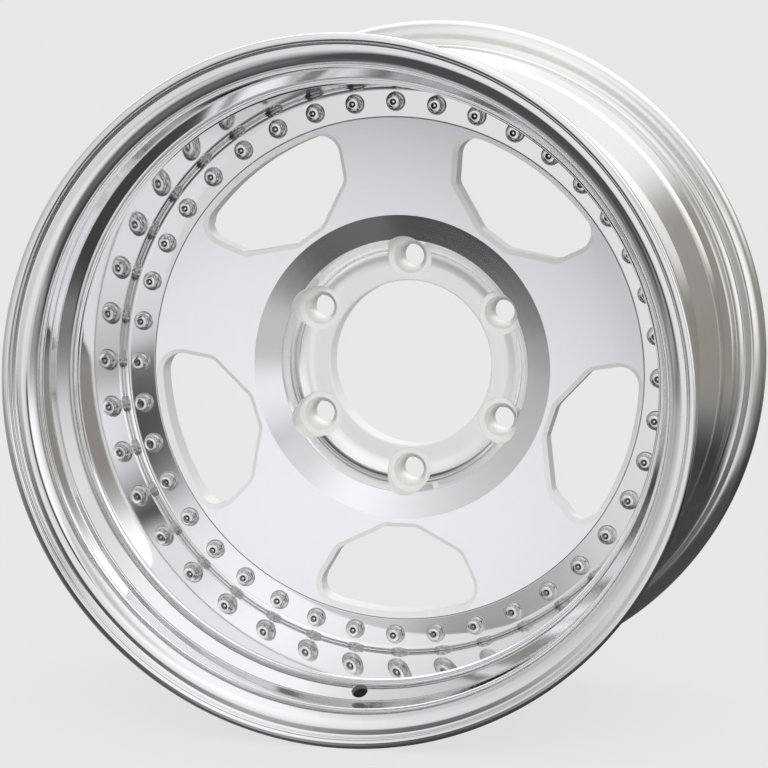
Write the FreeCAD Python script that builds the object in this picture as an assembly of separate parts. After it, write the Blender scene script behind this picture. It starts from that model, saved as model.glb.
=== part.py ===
import FreeCAD, Part
import math
import os

# Three-piece car wheel, bare, without its tyre.
# The axle runs along Y, the street side faces -Y and Z is up.
# The origin lies on the axle, in the middle of the rim's width. All sizes are millimetres.

# Rim contour, shared by both rim halves
bead_seat_diameter = 405.6
rim_width = 228.6
flange_height = 17.0
flange_reach = 13.2
flange_bend = 9.0
flange_edge_width = 5.8
flange_edge_round = 2.2
flange_dish_depth = 7.8
flange_dish_round = 1.8
seat_corner_round = 6.0
seat_width = 18.0
seat_drop = 1.6
hump_height = 1.7
hump_half_width = 4.5
rim_sheet = 4.8

# Outer rim half: lip, step and bolt land
land_y = 4.0
land_round = 4.5
lip_wall_drop = 19.6
lip_wall_flare = 3.3
step_setback = 25.0
step_run = 10.8
step_round = 5.0
throat_round = 2.5
lip_throat_drop = 5.5
lip_mouth_flare = 1.0
lip_mouth_round = 11.8
joint_edge_round = 4.0
opening_edge_round = 0.5

# Valve hole in the step of the lip
valve_hole_diameter = 9.8
valve_angle = 180.0

# Inner rim half: well and drum
well_setback = 58.3
drum_ramp_run = 12.0
drum_drop = 3.8
drum_round = 8.0
clamp_corner_round = 2.5

# Centre disc
pilot_inset = 10.0
pilot_clearance = 0.15
disc_flange_thickness = 10.0
disc_rim_clearance = 0.8
flange_seat_width = 7.0
web_thickness = 16.0
face_dish = 13.0
collar_width = 16.5
collar_drop = 7.0
cove_width = 6.5
cove_depth = 17.0
cove_round = 6.0
pad_margin = 5.65
bore_margin = 15.85
bore_edge_round = 1.0
hub_thickness = 17.0
hub_pad_margin = 19.15
hub_blend = 8.0

# Windows in the centre disc
window_count = 5
window_rim_land = 0.5
window_floor_land = 2.8
window_shoulder_share = 0.323
window_shoulder_half_width = 40.8
window_side_slant = 29.0
window_floor_half_width = 10.5
window_outer_round_share = 0.19
window_inner_round_share = 0.142
window_chamfer = 2.9

# Wheel-nut holes
lug_count = 6
lug_circle_diameter = 139.7
lug_hole_diameter = 15.0
lug_seat_diameter = 22.0
lug_seat_angle = 60.0
lug_socket_diameter = 29.2
lug_socket_depth = 0.6

# Rim bolts and nuts
bolt_count = 40
bolt_circle_inset = 11.2
bolt_diameter = 7.0
bolt_hole_clearance = 0.4
bolt_flange_diameter = 12.8
bolt_flange_thickness = 1.6
bolt_head_diameter = 9.4
bolt_head_height = 5.4
bolt_head_points = 12
bolt_thread_stand = 2.0
nut_sides = 6
nut_across_flats = 10.0
nut_height = 6.0
nut_thread_clearance = 0.1

# Sealing bead between the rim halves
seal_half_width = 7.0
seal_stand = 2.4
seal_depth = 2.0
seal_edge_cut = 1.2

# Places worked out from the sizes above
seat_radius = bead_seat_diameter / 2
flange_radius = seat_radius + flange_height
seat_edge_y = rim_width / 2
rim_face_y = seat_edge_y + flange_reach
flange_dish_y = rim_face_y - flange_dish_depth
flange_dish_radius = flange_radius - flange_edge_width
seat_inner_radius = seat_radius - seat_drop
seat_inner_y = seat_edge_y - seat_width
hump_radius = seat_inner_radius + hump_height
hump_y = seat_inner_y - hump_half_width
hump_end_y = hump_y - hump_half_width
lip_wall_radius = seat_radius - lip_wall_drop
lip_throat_radius = seat_radius - lip_throat_drop
step_front_y = step_setback - seat_edge_y
step_rear_y = step_front_y + step_run
well_end_y = seat_edge_y - well_setback
drum_start_y = well_end_y + drum_ramp_run
drum_radius = seat_radius - drum_drop
joint_y = land_y + rim_sheet
clamp_y = joint_y + rim_sheet
disc_back_y = clamp_y + disc_flange_thickness
lip_wall_front_radius = lip_wall_radius + lip_wall_flare
well_radius = lip_wall_radius + rim_sheet
well_bore_radius = well_radius - rim_sheet
bolt_circle_radius = lip_wall_radius - bolt_circle_inset
pilot_radius = bolt_circle_radius - pilot_inset
opening_radius = pilot_radius + pilot_clearance
lug_circle_radius = lug_circle_diameter / 2
bore_radius = lug_circle_radius - bore_margin
hub_radius = lug_circle_radius + hub_pad_margin
pad_corner_radius = lug_circle_radius + pad_margin
collar_inner_radius = pad_corner_radius + cove_width
face_inner_radius = collar_inner_radius + collar_width
face_band = pilot_radius - face_inner_radius
face_inner_y = land_y + face_dish
collar_inner_y = face_inner_y + collar_drop
pad_y = collar_inner_y + cove_depth
hub_face_y = pad_y + hub_thickness
window_outer_radius = pilot_radius - opening_edge_round - window_rim_land - window_chamfer
window_floor_height = face_inner_radius + window_floor_land + window_chamfer
window_shoulder_height = face_inner_radius + window_shoulder_share * face_band
window_outer_round = window_outer_round_share * face_band
window_inner_round = window_inner_round_share * face_band
bolt_hole_diameter = bolt_diameter + bolt_hole_clearance
overrun = 20.0
side_share = 0.98
match_tolerance = 0.02

AXLE_START = FreeCAD.Vector(0, 0, 0)
AXLE = FreeCAD.Vector(0, 1, 0)


def corner_reaches(points, roundings):
    """How far each corner's rounding runs along its sides, two neighbours sharing a short side."""
    count = len(points)
    wanted = []
    for index, rounding in enumerate(roundings):
        to_last = points[index - 1] - points[index]
        to_next = points[(index + 1) % count] - points[index]
        wanted.append(rounding / math.tan(to_last.getAngle(to_next) / 2))
    reaches = list(wanted)
    for index in range(count):
        neighbour = (index + 1) % count
        room = side_share * points[index].distanceToPoint(points[neighbour])
        both = wanted[index] + wanted[neighbour]
        if both > room:
            reaches[index] = min(reaches[index], wanted[index] * room / both)
            reaches[neighbour] = min(reaches[neighbour], wanted[neighbour] * room / both)
    return reaches


def rounded_wire(corners, place):
    """Closed outline through the corners (a, b, rounding), each rounding limited by its sides."""
    points = [FreeCAD.Vector(*place(a, b)) for a, b, rounding in corners]
    count = len(points)
    reaches = corner_reaches(points, [rounding for a, b, rounding in corners])
    edges = []
    previous_end = None
    first_start = None
    for index, point in enumerate(points):
        to_last = points[index - 1] - point
        to_next = points[(index + 1) % count] - point
        half_angle = to_last.getAngle(to_next) / 2
        reach = reaches[index]
        to_last.normalize()
        to_next.normalize()
        start = point + to_last * reach
        end = point + to_next * reach
        if previous_end is None:
            first_start = start
        else:
            edges.append(Part.LineSegment(previous_end, start).toShape())
        if reach > 0:
            radius = reach * math.tan(half_angle)
            middle = to_last + to_next
            middle.normalize()
            crest = point + middle * (radius / math.sin(half_angle) - radius)
            edges.append(Part.Arc(start, crest, end).toShape())
        previous_end = end
    edges.append(Part.LineSegment(previous_end, first_start).toShape())
    return Part.Wire(edges)


def turned(corners):
    """Solid of revolution about the axle from a section's corners (radius, y, rounding)."""
    wire = rounded_wire(corners, lambda radius, y: (radius, y, 0))
    return Part.Face(wire).revolve(AXLE_START, AXLE, 360)


def round_bar(diameter, y_start, y_end, height=0.0):
    """Cylinder along Y, centred at the given height above the axle."""
    place = FreeCAD.Vector(0, y_start, height)
    return Part.makeCylinder(diameter / 2, y_end - y_start, place, AXLE)


def prism(corners, y_start, y_end):
    """Straight prism along Y from an outline's corners (x, z, rounding)."""
    wire = rounded_wire(corners, lambda x, z: (x, y_start, z))
    return Part.Face(wire).extrude(FreeCAD.Vector(0, y_end - y_start, 0))


def around_axle(shape, count, first_angle=0.0):
    """Copies of a shape spaced evenly about the axle, the angle counted from the top."""
    copies = []
    for index in range(count):
        copy = shape.copy()
        copy.rotate(AXLE_START, AXLE, first_angle + index * 360.0 / count)
        copies.append(copy)
    return copies


def bead_flange(side):
    """Corners of a flange, seat and hump, from the dish of the flange to the crest of the hump."""
    return [
        (flange_dish_radius, side * flange_dish_y, flange_dish_round),
        (flange_dish_radius, side * rim_face_y, flange_edge_round),
        (flange_radius, side * rim_face_y, flange_edge_round),
        (flange_radius, side * seat_edge_y, flange_bend),
        (seat_radius, side * seat_edge_y, seat_corner_round),
        (seat_inner_radius, side * seat_inner_y, 0),
        (hump_radius, side * hump_y, 0),
    ]


def bolt_holes(y_start, y_end):
    """Clearance holes for the rim bolts."""
    hole = round_bar(bolt_hole_diameter, y_start, y_end, bolt_circle_radius)
    return around_axle(hole, bolt_count)


def sheet_shift(rise, run):
    """How far the far side of a sheet's ramp lies behind its near side."""
    return rim_sheet * math.tan(math.atan2(rise, run) / 2)


def outer_rim():
    """Lip with its flange, seat, step and the land that the bolts clamp."""
    step_rise = lip_throat_radius - lip_wall_front_radius
    shift = sheet_shift(step_rise, step_run)
    lip_back_radius = lip_throat_radius + rim_sheet
    section = [
        (opening_radius, land_y, opening_edge_round),
        (lip_wall_radius, land_y, land_round),
        (lip_wall_front_radius, step_rear_y, step_round),
        (lip_throat_radius, step_front_y, throat_round),
        (lip_throat_radius + lip_mouth_flare, -flange_dish_y, lip_mouth_round),
    ]
    section += bead_flange(-1)
    section += [
        (lip_back_radius, step_front_y + shift, 0),
        (lip_wall_front_radius + rim_sheet, step_rear_y + shift, 0),
        (well_radius, joint_y, joint_edge_round),
        (opening_radius, joint_y, 0),
    ]
    rim = turned(section)
    return rim.cut(bolt_holes(land_y - overrun, joint_y + overrun) + [valve_hole(step_rise)])


def valve_hole(step_rise):
    """Bar square to the step of the lip, at the valve's place near the bottom."""
    slope = math.hypot(step_rise, step_run)
    out = FreeCAD.Vector(0, step_rise / slope, step_run / slope)
    middle_radius = lip_throat_radius - step_rise / 2
    middle_y = (step_front_y + step_rear_y) / 2
    middle = FreeCAD.Vector(0, middle_y, middle_radius)
    bar = Part.makeCylinder(valve_hole_diameter / 2, 2 * overrun, middle - out * overrun, out)
    bar.rotate(AXLE_START, AXLE, valve_angle)
    return bar


def inner_rim():
    """Barrel with its clamping flange, well, drum, seat and rear flange."""
    shift = sheet_shift(drum_radius - well_radius, drum_ramp_run)
    drum_bore_radius = drum_radius - rim_sheet
    section = [
        (opening_radius, joint_y, 0),
        (opening_radius, clamp_y, 0),
        (well_bore_radius, clamp_y, clamp_corner_round),
        (well_bore_radius, well_end_y + shift, drum_round),
        (drum_bore_radius, drum_start_y + shift, drum_round),
        (drum_bore_radius, flange_dish_y, lip_mouth_round),
    ]
    section += bead_flange(1)
    section += [
        (drum_radius, hump_end_y, 0),
        (drum_radius, drum_start_y, 0),
        (well_radius, well_end_y, 0),
        (well_radius, joint_y, joint_edge_round),
    ]
    return turned(section).cut(bolt_holes(joint_y - overrun, clamp_y + overrun))


def face_y(radius):
    """Depth of the disc's dished front face at a radius."""
    return land_y + face_dish * (pilot_radius - radius) / face_band


def window_cutter():
    """One window, pointing up, with all its corners rounded."""
    slant = math.tan(math.radians(window_side_slant))
    top_height = window_outer_radius + overrun
    top_half_width = window_shoulder_half_width + slant * (top_height - window_shoulder_height)
    outline = [
        (-window_floor_half_width, window_floor_height, window_inner_round),
        (window_floor_half_width, window_floor_height, window_inner_round),
        (window_shoulder_half_width, window_shoulder_height, window_inner_round),
        (top_half_width, top_height, 0),
        (-top_half_width, top_height, 0),
        (-window_shoulder_half_width, window_shoulder_height, window_inner_round),
    ]
    block = prism(outline, land_y - overrun, hub_face_y + overrun)
    reach = round_bar(2 * window_outer_radius, land_y - overrun, hub_face_y + overrun)
    block = block.common(reach)
    corners = [edge for edge in block.Edges if is_outer_corner(edge)]
    return block.makeFillet(window_outer_round, corners)


def is_outer_corner(edge):
    """True for an edge along Y where a window's side meets its outer arc."""
    start = edge.Vertexes[0].Point
    end = edge.Vertexes[-1].Point
    along_axle = abs(start.x - end.x) + abs(start.z - end.z) < match_tolerance
    return along_axle and abs(math.hypot(start.x, start.z) - window_outer_radius) < match_tolerance


def is_window_front_edge(edge):
    """True for an edge where a window breaks the disc's dished face."""
    low = face_inner_radius + window_floor_land
    high = window_outer_radius + window_rim_land
    middle = edge.valueAt((edge.FirstParameter + edge.LastParameter) / 2)
    for point in [middle] + [vertex.Point for vertex in edge.Vertexes]:
        radius = math.hypot(point.x, point.z)
        if not low < radius < high or abs(point.y - face_y(radius)) > match_tolerance:
            return False
    return True


def lug_cutters():
    """Socket clearance, conical seat and through hole of each wheel nut."""
    seat_y = pad_y + lug_socket_depth
    half_angle = math.radians(lug_seat_angle / 2)
    seat_depth = (lug_seat_diameter - lug_hole_diameter) / 2 / math.tan(half_angle)
    socket = round_bar(lug_socket_diameter, land_y - overrun, seat_y, lug_circle_radius)
    place = FreeCAD.Vector(0, seat_y, lug_circle_radius)
    seat = Part.makeCone(lug_seat_diameter / 2, lug_hole_diameter / 2, seat_depth, place, AXLE)
    hole = round_bar(lug_hole_diameter, seat_y, hub_face_y + overrun, lug_circle_radius)
    return around_axle(socket.fuse([seat, hole]), lug_count)


def centre_disc():
    """Dished disc with its clamped flange, pilot, windows, collar, hub pad and nut seats."""
    edge_radius = well_bore_radius - disc_rim_clearance
    edge_cut = clamp_corner_round
    web_outer_radius = pilot_radius - flange_seat_width
    section = [
        (pilot_radius, land_y, opening_edge_round),
        (face_inner_radius, face_inner_y, 0),
        (collar_inner_radius, collar_inner_y, 0),
        (pad_corner_radius, pad_y, cove_round),
        (bore_radius, pad_y, bore_edge_round),
        (bore_radius, hub_face_y, bore_edge_round),
        (hub_radius, hub_face_y, bore_edge_round),
        (face_inner_radius, face_inner_y + web_thickness, hub_blend),
        (web_outer_radius, face_y(web_outer_radius) + web_thickness, 0),
        (web_outer_radius + opening_edge_round, disc_back_y, 0),
        (edge_radius, disc_back_y, bore_edge_round),
        (edge_radius, clamp_y + edge_cut, 0),
        (edge_radius - edge_cut, clamp_y, 0),
        (pilot_radius, clamp_y, 0),
    ]
    disc = turned(section)
    disc = disc.cut(around_axle(window_cutter(), window_count, 180.0 / window_count))
    front_edges = [edge for edge in disc.Edges if is_window_front_edge(edge)]
    disc = disc.makeChamfer(window_chamfer, front_edges)
    return disc.cut(lug_cutters() + bolt_holes(clamp_y - overrun, disc_back_y + overrun))


def star(points, tip_diameter):
    """Corners of a many-pointed bolt head, as two crossed hexagons give them."""
    half_step = math.pi / points
    root_ratio = math.cos(2 * half_step) / math.cos(half_step)
    corners = []
    for index in range(2 * points):
        radius = tip_diameter / 2 * (1 if index % 2 == 0 else root_ratio)
        angle = index * half_step
        corners.append((radius * math.cos(angle), radius * math.sin(angle), 0))
    return corners


def rim_bolts():
    """Flanged bolts on the land, their shanks through the clamped stack and the nuts."""
    under_head = land_y
    flange_top = under_head - bolt_flange_thickness
    shank_end = disc_back_y + nut_height + bolt_thread_stand
    shank = round_bar(bolt_diameter, under_head, shank_end)
    flange = round_bar(bolt_flange_diameter, flange_top, under_head)
    head = prism(star(bolt_head_points, bolt_head_diameter), flange_top - bolt_head_height, flange_top)
    bolt = head.fuse([flange, shank]).removeSplitter()
    bolt.translate(FreeCAD.Vector(0, 0, bolt_circle_radius))
    return Part.makeCompound(around_axle(bolt, bolt_count))


def rim_nuts():
    """Hexagon nuts on the back of the disc's flange."""
    half_side = math.pi / nut_sides
    corner_radius = nut_across_flats / 2 / math.cos(half_side)
    hexagon = []
    for index in range(nut_sides):
        angle = index * 2 * half_side
        hexagon.append((corner_radius * math.cos(angle), corner_radius * math.sin(angle), 0))
    nut_top = disc_back_y + nut_height
    thread = round_bar(bolt_diameter + nut_thread_clearance, disc_back_y, nut_top)
    nut = prism(hexagon, disc_back_y, nut_top).cut(thread)
    nut.translate(FreeCAD.Vector(0, 0, bolt_circle_radius))
    return Part.makeCompound(around_axle(nut, bolt_count))


def rim_seal(front_half, rear_half):
    """Bead of sealant that fills the groove between the rim halves and covers its edges."""
    top_radius = well_radius + seal_stand
    foot_radius = well_radius - seal_depth
    shoulder_radius = top_radius - seal_edge_cut
    ring = turned([
        (foot_radius, joint_y - seal_half_width, 0),
        (shoulder_radius, joint_y - seal_half_width, 0),
        (top_radius, joint_y - seal_half_width + seal_edge_cut, 0),
        (top_radius, joint_y + seal_half_width - seal_edge_cut, 0),
        (shoulder_radius, joint_y + seal_half_width, 0),
        (foot_radius, joint_y + seal_half_width, 0),
    ])
    return ring.cut([front_half, rear_half])


def main():
    os.makedirs("parts", exist_ok=True)
    lip = outer_rim()
    barrel = inner_rim()
    pieces = {
        "outer_rim": lip,
        "inner_rim": barrel,
        "centre_disc": centre_disc(),
        "rim_bolts": rim_bolts(),
        "rim_nuts": rim_nuts(),
        "rim_seal": rim_seal(lip, barrel),
    }
    for name, shape in pieces.items():
        shape.exportStep(f"parts/{name}.step")
        print(name, len(shape.Solids), shape.isValid(), round(shape.Volume))


main()
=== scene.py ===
import math

import bmesh
import bpy
import numpy as np
from mathutils import Matrix, Vector


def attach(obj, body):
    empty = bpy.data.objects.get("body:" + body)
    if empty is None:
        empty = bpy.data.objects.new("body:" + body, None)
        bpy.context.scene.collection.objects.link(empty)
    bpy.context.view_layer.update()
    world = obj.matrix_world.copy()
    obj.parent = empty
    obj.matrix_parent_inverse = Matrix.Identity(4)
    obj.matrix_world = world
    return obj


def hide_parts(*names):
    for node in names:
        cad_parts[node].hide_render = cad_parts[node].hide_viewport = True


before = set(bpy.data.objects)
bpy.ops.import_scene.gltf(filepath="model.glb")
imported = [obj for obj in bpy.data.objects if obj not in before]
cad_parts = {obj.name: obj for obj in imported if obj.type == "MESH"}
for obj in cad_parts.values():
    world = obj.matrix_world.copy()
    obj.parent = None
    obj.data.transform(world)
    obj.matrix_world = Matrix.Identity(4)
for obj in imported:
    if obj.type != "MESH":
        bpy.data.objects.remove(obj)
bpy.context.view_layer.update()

# Bare three-piece car wheel. The axle runs along Y, the street side faces -Y and Z is up.
# The sections below are in millimetres and the meshes in metres.
MM = 0.001
FULL_TURN = 2 * math.pi
TURN_STEPS = 360
ARC_STEP = math.radians(6.0)
SIDE_SHARE = 0.98
TINY = 1e-9

# Rim contour
SEAT_RADIUS = 202.8
SEAT_EDGE_Y = 114.3
FLANGE_RADIUS = 219.8
RIM_FACE_Y = 127.5
FLANGE_BEND = 9.0
FLANGE_EDGE_WIDTH = 5.8
FLANGE_EDGE_ROUND = 2.2
FLANGE_DISH_Y = 119.7
FLANGE_DISH_ROUND = 1.8
SEAT_CORNER_ROUND = 6.0
SEAT_INNER_RADIUS = 201.2
SEAT_INNER_Y = 96.3
HUMP_RADIUS = 202.9
HUMP_Y = 91.8
HUMP_END_Y = 87.3
RIM_SHEET = 4.8

# Lip, from the bolt land to the mouth
LAND_Y = 4.0
LAND_ROUND = 4.5
LIP_WALL_RADIUS = 183.2
LIP_WALL_FLARE = 3.3
STEP_REAR_Y = -78.5
STEP_FRONT_Y = -89.3
STEP_ROUND = 18.0
THROAT_ROUND = 2.5
LIP_THROAT_RADIUS = 197.3
LIP_MOUTH_FLARE = 1.0
LIP_MOUTH_ROUND = 11.8
JOINT_Y = 8.8
JOINT_EDGE_ROUND = 4.0
OPENING_RADIUS = 162.15
OPENING_EDGE_ROUND = 0.5
VALVE_HOLE_RADIUS = 4.9
VALVE_EDGE_CUT = 0.3
VALVE_ENTRY = 3.0
VALVE_BAR_LENGTH = 4 * RIM_SHEET
VALVE_STEPS = 48

# Barrel
CLAMP_Y = 13.6
CLAMP_CORNER_ROUND = 2.5
WELL_RADIUS = 188.0
WELL_END_Y = 56.0
DRUM_START_Y = 68.0
DRUM_RADIUS = 199.0
DRUM_ROUND = 8.0

# Centre disc
PILOT_RADIUS = 162.0
DISC_EDGE_RADIUS = 182.4
DISC_BACK_Y = 23.6
FACE_INNER_RADIUS = 98.5
FACE_INNER_Y = 17.0
WEB_THICKNESS = 16.0
WEB_OUTER_RADIUS = 155.0
COLLAR_INNER_RADIUS = 82.0
COLLAR_INNER_Y = 24.0
PAD_CORNER_RADIUS = 75.5
PAD_Y = 41.0
COVE_ROUND = 16.0
COVE_EDGE_ROUND = 0.8
COLLAR_EDGE_ROUND = 0.4
BORE_RADIUS = 54.0
BORE_EDGE_ROUND = 1.0
HUB_FACE_Y = 58.0
HUB_RADIUS = 89.0
HUB_BLEND = 8.0

# Windows
WINDOW_COUNT = 5
WINDOW_OUTER_RADIUS = 158.1
WINDOW_FLOOR_HEIGHT = 104.2
WINDOW_FLOOR_HALF_WIDTH = 10.5
WINDOW_SHOULDER_HEIGHT = 119.0
WINDOW_SHOULDER_HALF_WIDTH = 40.8
WINDOW_SIDE_SLANT = math.radians(29.0)
WINDOW_OUTER_ROUND = 12.0
WINDOW_INNER_ROUND = 9.0
WINDOW_CHAMFER = 2.9
WINDOW_CUT_OVERRUN = 2.0
WINDOW_CORNER_STEPS = 12
WINDOW_ARC_STEPS = 40
CHAMFER_TILT = 0.2

# Wheel-nut holes
LUG_COUNT = 6
LUG_CIRCLE_RADIUS = 69.85
LUG_HOLE_RADIUS = 7.5
LUG_SEAT_RADIUS = 11.0
LUG_SEAT_HALF_ANGLE = math.radians(30.0)
LUG_SOCKET_RADIUS = 14.6
LUG_SOCKET_DEPTH = 0.6
LUG_STEPS = 64

# Rim bolts and nuts
BOLT_COUNT = 40
BOLT_CIRCLE_RADIUS = 172.0
BOLT_RADIUS = 3.5
BOLT_END_Y = 31.6
BOLT_END_CUT = 0.6
BOLT_HOLE_RADIUS = 3.7
BOLT_HOLE_STEPS = 20
BOLT_FLANGE_RADIUS = 6.4
BOLT_FLANGE_THICKNESS = 1.6
BOLT_FLANGE_STEPS = 5
BOLT_NECK_GAP = 0.2
BOLT_NECK_HEIGHT = 0.25
BOLT_HEAD_RADIUS = 4.7
BOLT_HEAD_HEIGHT = 5.4
BOLT_HEAD_POINTS = 12
BOLT_ROOT_SHARE = 0.93
BOLT_CROWN_HEIGHT = 1.0
BOLT_TIP_CUT = 0.45
BOLT_ROOT_CUT = 0.12
BOLT_TOP_EDGE = 0.2
BOLT_TOP_EDGE_DEPTH = 0.05
BOLT_TOP_INSET = 0.3
BOLT_DIMPLE_RADIUS = 2.1
BOLT_DIMPLE_EDGE = 0.1
BOLT_DIMPLE_EDGE_DEPTH = 0.08
BOLT_DIMPLE_FLOOR_RADIUS = 0.6
BOLT_DIMPLE_TIP_RADIUS = 0.1
BOLT_DIMPLE_DEPTH = 1.2
NUT_SIDES = 6
NUT_STEPS = 4 * NUT_SIDES
NUT_CORNER_RADIUS = 5.77
NUT_CLEARANCE = 0.05
NUT_FLANGE_RADIUS = 6.6
NUT_FLANGE_EDGE = 0.6
NUT_FLANGE_HEIGHT = 1.2
NUT_HEIGHT = 6.0
NUT_TOP_CUT = 0.5
NUT_TOP_INSET = 0.6
RING_SEED = 0

# Painted shade that darkens a bolt's colour: the body for the dark its chrome mirrors, the dimple for the
# shade in its hollow
SHADE_ATTRIBUTE = "painted_shade"
UNSHADED = 1.0
BODY_PAINTED_SHADE = 0.7
DIMPLE_PAINTED_SHADE = 0.22


# Sections and turned meshes
def corner_reaches(points, roundings):
    """How far each corner's rounding runs along its sides, two neighbours sharing a short side."""
    count = len(points)
    wanted = []
    for index, rounding in enumerate(roundings):
        to_last = points[index - 1] - points[index]
        to_next = points[(index + 1) % count] - points[index]
        half_angle = to_last.angle(to_next) / 2
        wanted.append(rounding / math.tan(half_angle))
    reaches = list(wanted)
    for index in range(count):
        neighbour = (index + 1) % count
        room = (points[index] - points[neighbour]).length * SIDE_SHARE
        both = wanted[index] + wanted[neighbour]
        if both > room:
            reaches[index] = min(reaches[index], wanted[index] * room / both)
            reaches[neighbour] = min(reaches[neighbour], wanted[neighbour] * room / both)
    return reaches


def rounded_outline(corners):
    """Points of a closed outline with rounded corners, each with its normal before and after it,
    and the name of the stretch that follows it. A corner is (a, b, rounding, name of the stretch)."""
    points = [Vector((corner[0], corner[1])) for corner in corners]
    count = len(points)
    area = sum(points[i - 1].x * points[i].y - points[i].x * points[i - 1].y for i in range(count))
    side = 1 if area > 0 else -1
    reaches = corner_reaches(points, [corner[2] for corner in corners])
    found = []
    for index, point in enumerate(points):
        into = (point - points[index - 1]).normalized()
        onward = (points[(index + 1) % count] - point).normalized()
        normal_in = Vector((into.y, -into.x)) * side
        normal_out = Vector((onward.y, -onward.x)) * side
        name = corners[index][3]
        last_name = corners[index - 1][3]
        if reaches[index] <= 0:
            found.append((point, normal_in, normal_out, name))
            continue
        cross = normal_in.x * normal_out.y - normal_in.y * normal_out.x
        turn = math.atan2(cross, normal_in.dot(normal_out))
        radius = reaches[index] / math.tan(abs(turn) / 2)
        bulge = 1 if turn * side > 0 else -1
        centre = point - into * reaches[index] - normal_in * radius * bulge
        steps = max(2, math.ceil(abs(turn) / ARC_STEP))
        for step in range(steps + 1):
            angle = turn * step / steps
            normal = Matrix.Rotation(angle, 2) @ normal_in
            place = centre + normal * radius * bulge
            found.append((place, normal, normal, last_name if step < steps / 2 else name))
    return found


def turned_mesh(name, outline):
    """Mesh turned about the axle from an outline of radius and y."""
    count = len(outline)
    angles = np.arange(TURN_STEPS) * FULL_TURN / TURN_STEPS
    radii = np.array([point[0].x for point in outline]) * MM
    depths = np.array([point[0].y for point in outline]) * MM
    places = np.empty((TURN_STEPS, count, 3))
    places[:, :, 0] = np.outer(np.sin(angles), radii)
    places[:, :, 1] = depths
    places[:, :, 2] = np.outer(np.cos(angles), radii)
    ring = np.arange(TURN_STEPS)[:, None] * count
    after = ((np.arange(TURN_STEPS) + 1) % TURN_STEPS)[:, None] * count
    here = np.arange(count)[None, :]
    onward = (here + 1) % count
    faces = np.stack([ring + here, ring + onward, after + onward, after + here], axis=-1).reshape(-1, 4)
    area = np.sum(radii * np.roll(depths, -1) - np.roll(radii, -1) * depths)
    if area < 0:
        faces = faces[:, ::-1]
    mesh = bpy.data.meshes.new(name)
    mesh.from_pydata(places.reshape(-1, 3).tolist(), [], faces.tolist())
    mesh.validate()
    return mesh


def new_object(name, mesh):
    """Object that shows a mesh, linked to the scene."""
    made = bpy.data.objects.new(name, mesh)
    bpy.context.scene.collection.objects.link(made)
    return made


def cut_away(piece, cutters):
    """Takes the cutters' shapes out of a piece and removes the cutters."""
    for cutter in cutters:
        modifier = piece.modifiers.new("cut", "BOOLEAN")
        modifier.operation = "DIFFERENCE"
        modifier.solver = "EXACT"
        modifier.object = cutter
    settle(piece)
    for cutter in cutters:
        bpy.data.meshes.remove(cutter.data)


def settle(piece):
    """Turns a piece and its modifiers into a plain mesh."""
    depsgraph = bpy.context.evaluated_depsgraph_get()
    made = bpy.data.meshes.new_from_object(piece.evaluated_get(depsgraph))
    old = piece.data
    piece.modifiers.clear()
    piece.data = made
    made.name = piece.name
    bpy.data.meshes.remove(old)


def band_faces(count, level, onto):
    """Faces between two rings of a mesh whose rings have count points each."""
    faces = []
    for index in range(count):
        onward = (index + 1) % count
        faces.append((level * count + index, level * count + onward,
                      onto * count + onward, onto * count + index))
    return faces


def swept_mesh(name, rings):
    """Closed mesh through rings of points, each ring with as many points as the others."""
    count = len(rings[0])
    points = [point for ring in rings for point in ring]
    faces = []
    for level in range(len(rings) - 1):
        faces += band_faces(count, level, level + 1)
    faces.append(tuple(range(count)))
    faces.append(tuple(range(len(points) - count, len(points))))
    mesh = bpy.data.meshes.new(name)
    mesh.from_pydata([tuple(point) for point in points], [], faces)
    outward(mesh)
    return mesh


def ring_tube(name, rings):
    """Closed mesh through rings, the last joined to the first, open in the middle."""
    count = len(rings[0])
    levels = len(rings)
    points = [point for ring in rings for point in ring]
    faces = []
    for level in range(levels):
        faces += band_faces(count, level, (level + 1) % levels)
    mesh = bpy.data.meshes.new(name)
    mesh.from_pydata([tuple(point) for point in points], [], faces)
    outward(mesh)
    return mesh


def outward(mesh):
    """Turns all faces of a closed mesh outward."""
    work = bmesh.new()
    work.from_mesh(mesh)
    bmesh.ops.recalc_face_normals(work, faces=work.faces)
    work.to_mesh(mesh)
    work.free()


def joined(name, meshes):
    """One mesh from several."""
    points = []
    faces = []
    for mesh in meshes:
        base = len(points)
        points += [vertex.co.copy() for vertex in mesh.vertices]
        faces += [[base + index for index in polygon.vertices] for polygon in mesh.polygons]
        bpy.data.meshes.remove(mesh)
    made = bpy.data.meshes.new(name)
    made.from_pydata(points, [], faces)
    return made


def around(mesh, count, first=0.0):
    """A mesh and its copies, spaced evenly about the axle, as one mesh."""
    copies = []
    for index in range(count):
        copy = mesh.copy()
        copy.transform(Matrix.Rotation(first + index * FULL_TURN / count, 4, "Y"))
        copies.append(copy)
    name = mesh.name
    bpy.data.meshes.remove(mesh)
    return joined(name, copies)


def round_cutter(name, levels, height, steps):
    """Bar along Y above the axle, through levels of (radius, y)."""
    rings = []
    for radius, y in levels:
        ring = []
        for index in range(steps):
            angle = index * FULL_TURN / steps
            ring.append(Vector((radius * math.cos(angle), y, height + radius * math.sin(angle))) * MM)
        rings.append(ring)
    return swept_mesh(name, rings)


# Exact normals and finishes on turned pieces
SMOOTH_LIMIT = math.radians(35.0)
MATCH_DISTANCE = 0.06
MATCH_DIRECTION = 0.95


def values(collection, field, width):
    """One field of a mesh collection as an array with a row for each element."""
    found = np.empty(len(collection) * width)
    collection.foreach_get(field, found)
    return found.reshape(-1, width) if width > 1 else found


def outline_sides(outline):
    """Start and run of each side of an outline, and the normals at its two ends."""
    start = np.array([tuple(point[0]) for point in outline])
    run = np.roll(start, -1, axis=0) - start
    before = np.array([tuple(point[2]) for point in outline])
    after = np.roll(np.array([tuple(point[1]) for point in outline]), -1, axis=0)
    return start, run, before, after


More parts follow.
